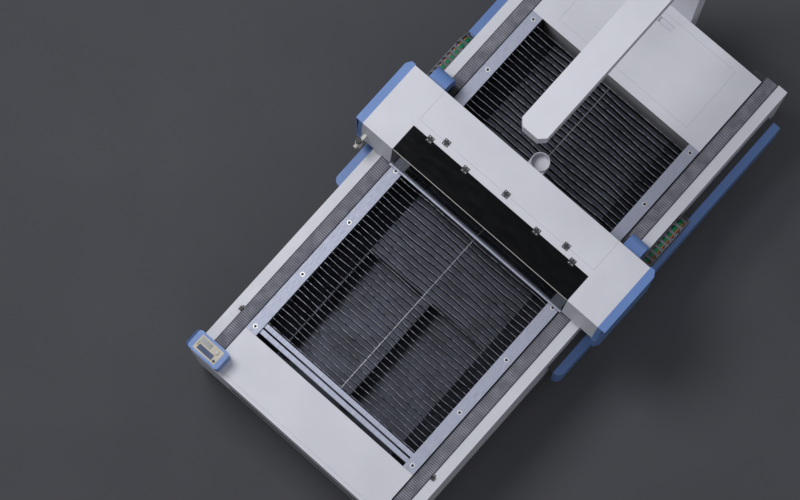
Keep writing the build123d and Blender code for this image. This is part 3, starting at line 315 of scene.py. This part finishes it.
# which finish each slot of the record gets
slotFinish = {
    "frame_steel": "powderCoatGraphite",
    "white_panel": "powderCoatWhite",
    "blue_panel": "powderCoatBlue",
    "bar_aluminium": "anodisedAluminium",
    "screw_steel": "zincPlatedSteel",
    "slat_steel": "scorchedSlatSteel",
    "tray_steel": "galvanisedSteel",
    "guide_steel": "groundSteel",
    "bellows_cloth": "foldedBellowsCloth",
    "chain_plastic": "mouldedNylon",
    "dark_plastic": "mouldedAbsBlack",
    "hinge_steel": "blackOxideSteel",
    "smoked_window": "smokedAcrylic",
    "tube_glass": "borosilicateGlass",
    "electric_case": "powderCoatGreySheet",
    "brass_tip": "turnedBrass",
    "face_plate": "powderCoatBeigePlate",
    "screen_glass": "displayPlastic",
    "key_plastic": "siliconeKeyBlue",
    "green_plastic": "mouldedAcetalGreen",
    "red_plastic": "mouldedAcetalRed",
    "belt_rubber": "neopreneRubber",
    "knob_plastic": "mouldedAbsGrey",
}
slotOf = {part["node"]: part["material_slot"] for part in frame["record"]["subparts"]}
for name, node in frame["nodes"].items():
    for place in node.material_slots:
        place.material = made[slotFinish[slotOf[name]]]
print("CAD nodes finished", len(frame["nodes"]))


def newPiece(name, mesh, finish, body=None, smooth=False):
    # an object from a bmesh, with its finish, its slot and the body that it rides on
    bmesh.ops.recalc_face_normals(mesh, faces=mesh.faces)
    data = bpy.data.meshes.new(name)
    mesh.to_mesh(data)
    mesh.free()
    for face in data.polygons:
        face.use_smooth = smooth
    data.materials.append(made[finish])
    piece = bpy.data.objects.new(name, data)
    scene.collection.objects.link(piece)
    if body:
        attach(piece, body)
    return piece


def skin(mesh, rings, loop=False):
    # walls between rings of points, open at both ends
    rows = [[mesh.verts.new(point) for point in ring] for ring in rings]
    size = len(rows[0])
    pairs = list(zip(rows, rows[1:])) + ([(rows[-1], rows[0])] if loop else [])
    for first, second in pairs:
        for k in range(size):
            mesh.faces.new((first[k], first[(k + 1) % size], second[(k + 1) % size], second[k]))
    return rows


def closedRings(mesh, rings, loop=False):
    # the same walls, closed at both ends unless the last ring meets the first
    rows = skin(mesh, rings, loop)
    if not loop:
        mesh.faces.new(rows[0][::-1])
        mesh.faces.new(rows[-1])


axisTurns = {"Z": Matrix.Identity(3), "X": Matrix(((0, 0, 1), (0, 1, 0), (-1, 0, 0)))}


def lathe(mesh, profile, centre, steps, axis="Z"):
    # a closed turned form: profile is (radius, height) from one end of the axis to the other
    rings = []
    for radius, height in profile:
        ring = []
        for k in range(steps):
            angle = 2 * math.pi * k / steps
            point = Vector((radius * math.cos(angle), radius * math.sin(angle), height))
            ring.append(Vector(centre) + axisTurns[axis] @ point)
        rings.append(ring)
    closedRings(mesh, rings)


def roundedBlock(mesh, low, high, bevel):
    # a block with its edges cut by the bevel, added to a mesh
    part = bmesh.new()
    bmesh.ops.create_cube(part, size=1)
    low, high = Vector(low), Vector(high)
    size = high - low
    for vert in part.verts:
        vert.co = Vector((low[i] + (vert.co[i] + 0.5) * size[i] for i in range(3)))
    bmesh.ops.bevel(part, geom=part.edges[:], offset=bevel, segments=1, affect="EDGES", profile=0.5)
    data = bpy.data.meshes.new("block")
    part.to_mesh(data)
    part.free()
    mesh.from_mesh(data)
    bpy.data.meshes.remove(data)


def clamped(value):
    return min(1, max(0, value))


def evenWeights(piece, weightOf):
    attribute = piece.data.attributes["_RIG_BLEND"]
    attribute.data.foreach_set("value", [weightOf(vert.co) for vert in piece.data.vertices])


# Folded way covers: one skin of crests and valleys over a hollow tunnel
# the pitch of the folds is the one measured in the photo
bellows = {
    "width": 104 * mm, "pitch": 16.4 * mm, "depth": 5.5 * mm, "crest": 2.2 * mm,
    "corner": 9 * mm, "chamfer": 0.3, "cloth": 1.6 * mm,
}


def bellowsRing(side, xInner, xOuter, low, top, inset, y):
    # half a section outside and half inside, so that the ring closes on itself
    corner = bellows["corner"]
    cut = corner * bellows["chamfer"]
    a, b, c = xInner + inset, xOuter - inset, top - inset
    outside = [(a, low), (a, c - corner), (a + cut, c - cut), (a + corner, c)]
    outside += [(b - corner, c), (b - cut, c - cut), (b, c - corner), (b, low)]
    t = bellows["cloth"]
    inside = [(b - t, low), (b - t, c - corner), (b - corner, c - t)]
    inside += [(a + corner, c - t), (a + t, c - corner), (a + t, low)]
    return [(side * x, y, z) for x, z in outside + inside]


# corners of the thin rim at either end, by their place in the ring; the tunnel is open between
rimFaces = ((0, 1, 12, 13), (1, 2, 3, 11, 12), (3, 4, 10, 11), (4, 5, 6, 9, 10), (6, 7, 8, 9))

for name, fixedEnd in (("bellows_front", "front"), ("bellows_rear", "rear")):
    low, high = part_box(name)
    xInner, xOuter = high.x - bellows["width"], high.x
    start, end = low.y, high.y
    count = round((end - start) / bellows["pitch"])
    pitch = (end - start) / count
    flat = bellows["crest"] / 2
    depth = bellows["depth"]
    for side, word in ((1, "right"), (-1, "left")):
        rings = []
        for i in range(count):
            y, half = start + i * pitch, start + (i + 0.5) * pitch
            steps = [(y, depth), (y + flat, depth), (half - flat, 0), (half + flat, 0), (y + pitch - flat, depth)]
            for place, inset in steps:
                rings.append(bellowsRing(side, xInner, xOuter, low.z, high.z, inset, place))
        rings.append(bellowsRing(side, xInner, xOuter, low.z, high.z, depth, end))
        mesh = bmesh.new()
        rows = skin(mesh, rings)
        for ring in (rows[0], rows[-1]):
            for corners in rimFaces:
                mesh.faces.new([ring[k] for k in corners])
        piece = newPiece(f"wayCover_{name}_{word}", mesh, "foldedBellowsCloth")
        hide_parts(name)
        if fixedEnd == "front":
            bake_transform(piece, "frame", "gantry", start=(0, start, 0), end=(0, end, 0))
        else:
            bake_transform(piece, "gantry", "frame", start=(0, start, 0), end=(0, end, 0))
        evenWeights(piece, lambda co: clamped((co.y - start) / (end - start)))
print("way covers done")


# Cable chains: the same run of links as the solids, with pins, rounded plates and cables inside
chain = {
    "inner": 992 * mm, "base": 501.3 * mm, "start": 404 * mm, "upper": 8, "arc": 6, "lower": 19,
    "width": 78 * mm, "height": 60 * mm, "pitch": 50 * mm, "side": 11 * mm, "bar": 20 * mm, "cover": 5 * mm,
    "corner": 6 * mm, "rounding": 1.2 * mm, "clear": 0.4 * mm, "recess": 0.6 * mm,
    "pin": 8 * mm, "pinTall": 0.8 * mm, "pinSides": 16,
}


def chainPlaces():
    # (y, z, turn) of every link from the gantry's end, then the y of the bend and the z of its middle
    half = chain["height"] / 2
    step = math.pi / chain["arc"]
    radius = chain["pitch"] / 2 / math.tan(step / 2) + half
    low = chain["base"] + half
    high = low + 2 * radius
    bend = chain["start"] + chain["upper"] * chain["pitch"]
    places = [(chain["start"] + (i + 0.5) * chain["pitch"], high, 0.0) for i in range(chain["upper"])]
    for i in range(chain["arc"]):
        turn = (i + 0.5) * step
        places.append((bend + radius * math.sin(turn), low + radius + radius * math.cos(turn), -turn))
    places += [(bend - (i + 0.5) * chain["pitch"], low, math.pi) for i in range(chain["lower"])]
    return places, bend, low + radius


chainRun, chainBend, chainMiddle = chainPlaces()
chainTail = chainBend - chain["lower"] * chain["pitch"]


def chainWeight(point):
    # 1 moves with the gantry: the bend goes half as far, and the two runs share the rest evenly
    if point.y >= chainBend:
        return 0.5
    if point.z > chainMiddle:
        return 1 - 0.5 * clamped((point.y - chain["start"]) / (chainBend - chain["start"]))
    return 0.5 * clamped((point.y - chainTail) / (chainBend - chainTail))


def linkPlate(mesh, x0, x1):
    # a side plate with rounded corners, drawn through from x0 to x1
    corner = chain["corner"]
    reach, half = (chain[name] / 2 - chain["clear"] - corner for name in ("pitch", "height"))
    outline = []
    for cy, cz, first in ((1, 1, 0), (-1, 1, 90), (-1, -1, 180), (1, -1, 270)):
        for extra in (0, 30, 60, 90):
            angle = math.radians(first + extra)
            outline.append((cy * reach + corner * math.cos(angle), cz * half + corner * math.sin(angle)))
    closedRings(mesh, [[(x, y, z) for y, z in outline] for x in (x0, x1)])


def chainLink(mesh):
    # two side plates, a cover strip below and above, and the pins, which stand out past the plates
    w, s, h, b, c = chain["width"], chain["side"], chain["height"] / 2, chain["bar"] / 2, chain["cover"]
    linkPlate(mesh, chain["recess"], s)
    linkPlate(mesh, w - s, w - chain["recess"])
    into = 1 * mm  # how far a strip goes into the plates
    for z in (-h + chain["clear"], h - c - chain["clear"]):
        roundedBlock(mesh, (s - into, -b, z), (w - s + into, b, z + c), chain["rounding"])
    for x0, x1 in ((0.0, chain["pinTall"]), (w - chain["pinTall"], w)):
        lathe(mesh, [(chain["pin"], x0), (chain["pin"], x1)], (0, 0, 0), chain["pinSides"], "X")


linkMesh = bmesh.new()
chainLink(linkMesh)
linkData = bpy.data.meshes.new("link")
linkMesh.to_mesh(linkData)
linkMesh.free()

for side, word in ((1, "right"), (-1, "left")):
    mesh = bmesh.new()
    for y, z, turn in chainRun:
        before = len(mesh.verts)
        mesh.from_mesh(linkData)
        mesh.verts.ensure_lookup_table()
        place = Matrix.Translation((chain["inner"], y, z)) @ Matrix.Rotation(turn, 4, "X")
        for vert in mesh.verts[before:]:
            vert.co = place @ vert.co
            vert.co.x *= side
    piece = newPiece(f"cableChain_{word}", mesh, "mouldedNylon")
    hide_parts("cable_chains")
    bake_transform(piece, "frame", "gantry", start=(0, chainTail, 0), end=(0, chainBend, 0))
    evenWeights(piece, chainWeight)

# the leads that lie side by side in the chain: how far across it, and how far from its middle, in millimetres
leads = {
    "vinylSheathGreen": ((22, 2), (32, 6), (42, 2)),
    "vinylSheathOrange": ((54, 2),),
    "vinylSheathGrey": ((27, -9),),
}
lead = {"radius": 4.6 * mm, "sides": 10}
for finish, offsets in leads.items():
    for number, (across, lift) in enumerate(offsets):
        for side, word in ((1, "right"), (-1, "left")):
            rings = []
            for y, z, turn in chainRun:
                ring = []
                for k in range(lead["sides"]):
                    angle = 2 * math.pi * k / lead["sides"]
                    x = chain["inner"] + across * mm + lead["radius"] * math.cos(angle)
                    out = lift * mm + lead["radius"] * math.sin(angle)
                    ring.append((side * x, y - out * math.sin(turn), z + out * math.cos(turn)))
                rings.append(ring)
            mesh = bmesh.new()
            closedRings(mesh, rings)
            piece = newPiece(f"chainLead_{finish}_{number}_{word}", mesh, finish, smooth=True)
            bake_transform(piece, "frame", "gantry", start=(0, chainTail, 0), end=(0, chainBend, 0))
            evenWeights(piece, chainWeight)
print("cable chains done")


# Socket screws of the clamp bars: washer, domed head, and a dark hexagon in it as painted shade in the socket
screw = {
    "count": 7, "inset": 11 * mm, "washer": 17 * mm, "washerTall": 1.4 * mm,
    "head": 11 * mm, "tall": 6 * mm, "socket": 4 * mm, "socketDeep": 0.6 * mm, "shank": 4 * mm,
    "dome": ((1, 0), (1, 0.4), (0.92, 0.68), (0.74, 0.9), (0.55, 1)),  # shares of the head's radius and height
}
low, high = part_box("bar_screws")
barTop = high.z - screw["tall"]
screwX = high.x - screw["inset"]
screwStep = (high.y - low.y - 2 * screw["inset"]) / (screw["count"] - 1)
bodies, washers, sockets = bmesh.new(), bmesh.new(), bmesh.new()
for side in (1, -1):
    for i in range(screw["count"]):
        place = (side * screwX, low.y + screw["inset"] + i * screwStep, barTop)
        profile = [(screw["shank"], low.z - barTop), (screw["shank"], 0.0)]
        profile += [(screw["head"] * r, screw["tall"] * t) for r, t in screw["dome"]]
        lathe(bodies, profile, place, 28)
        w, rim = screw["washer"], screw["washerTall"]
        lathe(washers, [(w, 0.0), (w, rim * 0.7), (w - 0.5 * mm, rim)], place, 32)
        # painted shade: a thin dark hexagon stands for the shade in the socket
        socketLow, socketHigh = screw["tall"] - screw["socketDeep"], screw["tall"] - 0.02 * mm
        lathe(sockets, [(screw["socket"], socketLow), (screw["socket"], socketHigh)], place, 6)
piece = newPiece("barScrewBodies", bodies, "blackOxideSteel", "frame")
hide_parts("bar_screws")
newPiece("barScrewWashers", washers, "zincPlatedSteel", "frame")
newPiece("barScrewSocketShades", sockets, "mouldedAbsBlack", "frame")
print("bar screws done")


# Slats: thin strips, each a little bowed, their top edge eaten into shallow dips by the beam
slat = {"pitch": 45.5 * mm, "thick": 3 * mm, "steps": 56, "bow": 6 * mm, "dip": 1.6 * mm, "ground": 0.8 * mm}
low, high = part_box("slats")
slatRoom = high.y - low.y - slat["thick"]
slatCount = round(slatRoom / slat["pitch"]) + 1
mesh = bmesh.new()
for i in range(slatCount):
    bow = slat["bow"] if 0 < i < slatCount - 1 else 0
    rings = []
    for k in range(slat["steps"] + 1):
        share = k / slat["steps"]
        x = low.x + share * (high.x - low.x)
        hold = min(1, share * 12, (1 - share) * 12)  # the ends are held straight
        # two waves, out of step from one slat to the next, so that no two are bent or eaten alike
        away = bow * hold * (math.sin(9.1 * share + 0.37 * i) + 0.55 * math.sin(27.3 * share + 1.9 * i)) / 1.6
        eaten = slat["dip"] * hold * max(0, math.sin(41 * share + 5.7 * i) * math.sin(11 * share + 3.1 * i))
        y, t = low.y + i * slatRoom / (slatCount - 1) + away, slat["thick"]
        top, shoulder = high.z - eaten, high.z - eaten - slat["ground"]
        section = [(0, low.z), (t, low.z), (t, shoulder), (t * 0.7, top), (t * 0.3, top), (0, shoulder)]
        rings.append([(x, y + across, z) for across, z in section])
    closedRings(mesh, rings)
piece = newPiece("bedSlats", mesh, "scorchedSlatSteel", "frame")
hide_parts("slats")
print("slats done", slatCount)


# Hinge screws: two flat heads on each leaf
hinge = {
    "lidAt": (-560 * mm, 0, 560 * mm), "lidAxis": 118 * mm,
    "windowAt": (-663 * mm, -333 * mm, 333 * mm, 663 * mm), "windowAxis": 60 * mm,
    "leafThick": 3 * mm, "fromAxis": 16 * mm, "spread": 14 * mm, "radius": 3.2 * mm, "tall": 0.8 * mm,
}
hinges = [(x, hinge["lidAxis"], "beam_lid", 1) for x in hinge["lidAt"]]
hinges += [(x, hinge["windowAxis"], "front_window", -1) for x in hinge["windowAt"]]
heads = {body: bmesh.new() for body in ("gantry", "beam_lid", "front_window")}
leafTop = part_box("lid_leaves")[0].z + hinge["leafThick"]
for x, axis, body, away in hinges:
    for target, side in ((body, away), ("gantry", -away)):
        for dx in (-1, 1):
            place = (x + dx * hinge["spread"], axis + side * hinge["fromAxis"], leafTop)
            r, t = hinge["radius"], hinge["tall"]
            lathe(heads[target], [(r, -1 * mm), (r, t * 0.4), (r * 0.75, t)], place, 14)
for body, mesh in heads.items():
    newPiece(f"hingeScrews_{body}", mesh, "zincPlatedSteel", body)
print("hinge screws done")


# Rim of the exhaust mouth: a rolled bright edge
mouth = {"radius": 68 * mm, "wire": 2 * mm, "fromEnd": 70 * mm, "steps": 64, "sides": 8}
low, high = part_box("exhaust_duct")
centre = Vector((0, high.y - mouth["fromEnd"], high.z - mouth["wire"]))
rings = []
for k in range(mouth["steps"]):
    angle = 2 * math.pi * k / mouth["steps"]
    out = Vector((math.cos(angle), math.sin(angle), 0))
    ring = []
    for j in range(mouth["sides"]):
        turn = 2 * math.pi * j / mouth["sides"]
        rise = Vector((0, 0, mouth["wire"] * math.sin(turn)))
        ring.append(centre + out * (mouth["radius"] + mouth["wire"] * math.cos(turn)) + rise)
    rings.append(ring)
mesh = bmesh.new()
closedRings(mesh, rings, loop=True)
newPiece("exhaustMouthRim", mesh, "brushedAluminium", "gantry", smooth=True)


# Pale strip where the window's two sheets meet: a painted highlight, drawn as a thin line
bend = {"front": -168.32 * mm, "rear": -164.8 * mm, "inset": 2 * mm, "deep": 2 * mm, "proud": 0.3 * mm}
low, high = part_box("front_window")
frontLow = (low.x + bend["inset"], bend["front"], high.z - bend["deep"])
rearHigh = (high.x - bend["inset"], bend["rear"], high.z + bend["proud"])
mesh = bmesh.new()
roundedBlock(mesh, frontLow, rearHigh, 0.3 * mm)
newPiece("windowBendHighlight", mesh, "mouldedAbsGrey", "front_window")
print("mouth rim and window bend done")


# Controls: a dished dial with a finger hollow, its shade painted as a dark disc, and a pointer on the knob
dial = {  # shares of the dial's radius and height
    "cap": ((0.35, 0), (1, 0.25), (1, 0.82), (0.94, 0.95), (0.86, 1), (0.76, 0.97), (0.3, 0.93)),
    "hollow": ((0.2, 0.9), (0.2, 0.945)), "hollowAt": 0.48,
}
low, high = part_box("jog_dial")
x, y = (low.x + high.x) / 2, (low.y + high.y) / 2
r, t = (high.x - low.x) / 2, high.z - low.z
mesh = bmesh.new()
lathe(mesh, [(r * a, t * b) for a, b in dial["cap"]], (x, y, low.z), 40)
piece = newPiece("jogDialCap", mesh, "mouldedAbsGrey", "jog_dial")
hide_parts("jog_dial")
# painted shade: a flat dark disc stands for the shade in the finger hollow
mesh = bmesh.new()
lathe(mesh, [(r * a, t * b) for a, b in dial["hollow"]], (x + r * dial["hollowAt"], y, low.z), 20)
newPiece("jogDialHollowShade", mesh, "mouldedAbsBlack", "jog_dial")

pointer = {"half": 0.8 * mm, "deep": 0.5 * mm, "fromRim": 1 * mm, "rounding": 0.15 * mm}
low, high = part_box("mode_knob")
x, y = (low.x + high.x) / 2, (low.y + high.y) / 2
pointerLow = (x - pointer["half"], y, high.z - pointer["deep"])
pointerHigh = (x + pointer["half"], high.y - pointer["fromRim"], high.z)
mesh = bmesh.new()
roundedBlock(mesh, pointerLow, pointerHigh, pointer["rounding"])
newPiece("modeKnobPointer", mesh, "mouldedAbsGrey", "mode_knob")
print("controls done")


# Room: a dark grey floor, soft light from a broad panel above the left, and weaker ones opposite and behind
floorMesh = bmesh.new()
bmesh.ops.create_grid(floorMesh, x_segments=1, y_segments=1, size=40)  # half a side, in metres
floorData = bpy.data.meshes.new("greyFloor")
floorMesh.to_mesh(floorData)
floorMesh.free()
floor = bpy.data.objects.new("greyFloor", floorData)
scene.collection.objects.link(floor)
# matt floor paint with faint clouds, so that the machine's shadow has something to lie on
material, tree, place = startMaterial("greyFloorPaint")
cloud = addNode(tree, "TexNoise", {"Scale": 1000 / 900, "Detail": 3}, {"Vector": place})
tones = {"data_type": "RGBA", 6: linear("4A4B50"), 7: linear("404146")}
colour = addNode(tree, "Mix", tones, {0: cloud}).outputs[2]
endMaterial(tree, {"Roughness": 0.85}, {"Base Color": colour})
floorData.materials.append(material)

lights = {
    "softKey": {"power": 650, "size": 4, "at": (-4.5, -1.2, 10.5)},
    "softFill": {"power": 170, "size": 8, "at": (6, -5, 9)},
    "softBack": {"power": 110, "size": 6, "at": (1, 8, 7)},
}
aim = Vector((0, 0, 0.8))  # the middle of the bed, a little below the slats' tops
for name, light in lights.items():
    data = bpy.data.lights.new(name, "AREA")
    data.energy, data.size = light["power"], light["size"]
    lamp = bpy.data.objects.new(name, data)
    lamp.location = light["at"]
    lamp.rotation_euler = (aim - Vector(light["at"])).to_track_quat("-Z", "Y").to_euler()
    scene.collection.objects.link(lamp)

world = bpy.data.worlds.new("softRoom")
world.use_nodes = True
world.node_tree.nodes.clear()
sky = addNode(world.node_tree, "Background", {"Color": linear("E8EAF0"), "Strength": 0.3})
addNode(world.node_tree, "OutputWorld", {}, {"Surface": sky})
scene.world = world

# Camera: found from the photo's straight edges and its bar screws
camera = {"focal": 115.11, "sensor": 36, "at": (1.878, -2.8505, 18.954), "turned": (9.84966, 0.58145, 41.62893)}
lens = bpy.data.cameras.new("photoAngle")
lens.lens, lens.sensor_width = camera["focal"], camera["sensor"]
lens.clip_end = 100
eye = bpy.data.objects.new("photoAngle", lens)
eye.location = camera["at"]
eye.rotation_euler = [math.radians(a) for a in camera["turned"]]
scene.collection.objects.link(eye)
scene.camera = eye
scene.view_settings.view_transform = "Standard"
print("room, lights and camera done")
